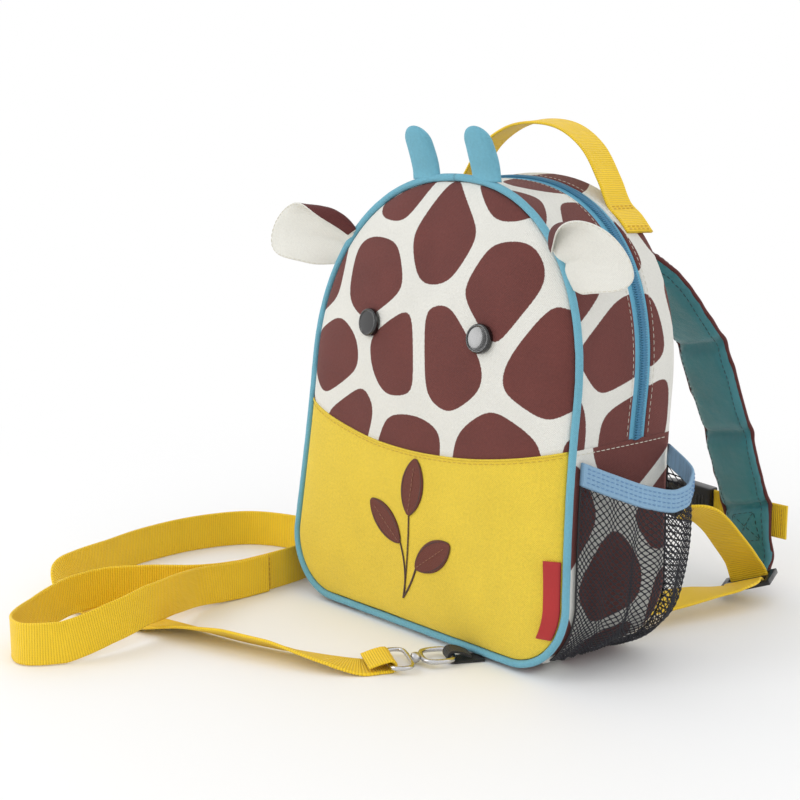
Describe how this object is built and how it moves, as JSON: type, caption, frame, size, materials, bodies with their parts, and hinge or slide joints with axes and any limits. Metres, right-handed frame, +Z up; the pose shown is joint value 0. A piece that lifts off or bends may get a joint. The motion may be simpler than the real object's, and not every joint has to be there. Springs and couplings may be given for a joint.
{
  "type": "mini backpack with walking rein",
  "caption": "Small child's backpack with an arched front, ears and horns, mesh side pockets, padded straps, chest strap, top handle and a clip-on walking rein lying beside it.",
  "frame": {"origin": "middle of the flat base, on the surface that the bag stands on, midway across its width and depth", "axes": "+Z up; -Y is the way the front panel faces; +X is to the right seen from the front"},
  "size_m": [0.3336, 0.3836, 0.2655],
  "materials": {
    "canvas_cream": "fine plain-weave canvas with brown patches",
    "canvas_yellow": "fine plain-weave canvas",
    "piping_blue": "fabric-covered piping and horns",
    "zip_blue": "woven zip tape with nylon coil",
    "applique_brown": "felted applique",
    "ear_cloth": "padded canvas ear with brown back",
    "tag_red": "plain woven tag",
    "webbing_yellow": "ribbed polypropylene webbing",
    "strap_teal": "padded satin polyester with bound edge",
    "net_black": "stretch mesh",
    "binding_blue": "elastic grosgrain binding",
    "loop_black": "black webbing",
    "plastic_black": "moulded acetal",
    "button_black": "polished domed button",
    "steel": "plated steel"
  },
  "bodies": {
    "root": {"front_panel_upper": "canvas_cream", "front_panel_lower": "canvas_yellow", "front_piping": "piping_blue", "gusset_front_strip": "canvas_cream", "zip": "zip_blue", "gusset_rear_strip": "canvas_cream", "zip_slider": "steel", "base_gusset": "canvas_cream", "back_panel": "canvas_cream", "button_left": "button_black", "button_right": "button_black", "side_tag": "tag_red", "leaf_patch_top": "applique_brown", "leaf_patch_left": "applique_brown", "leaf_patch_right": "applique_brown", "horn_left": "piping_blue", "horn_right": "piping_blue", "ear_left": "ear_cloth", "ear_right": "ear_cloth", "carry_handle": "webbing_yellow", "pocket_net_left": "net_black", "pocket_net_right": "net_black", "pocket_binding_left": "binding_blue", "pocket_binding_right": "binding_blue", "shoulder_strap_left": "strap_teal", "shoulder_strap_right": "strap_teal", "lower_webbing_left": "webbing_yellow", "lower_webbing_right": "webbing_yellow", "ladder_lock_left": "plastic_black", "ladder_lock_right": "plastic_black", "chest_webbing_right": "webbing_yellow", "chest_webbing_left": "webbing_yellow", "chest_buckle_socket": "plastic_black", "chest_buckle_plug": "plastic_black", "rein_hook": "steel", "rein_hook_stem": "steel", "rein_ring": "steel", "anchor_loop": "loop_black", "rein_webbing": "webbing_yellow", "rein_hand_loop": "webbing_yellow"}
  },
  "joints": []
}
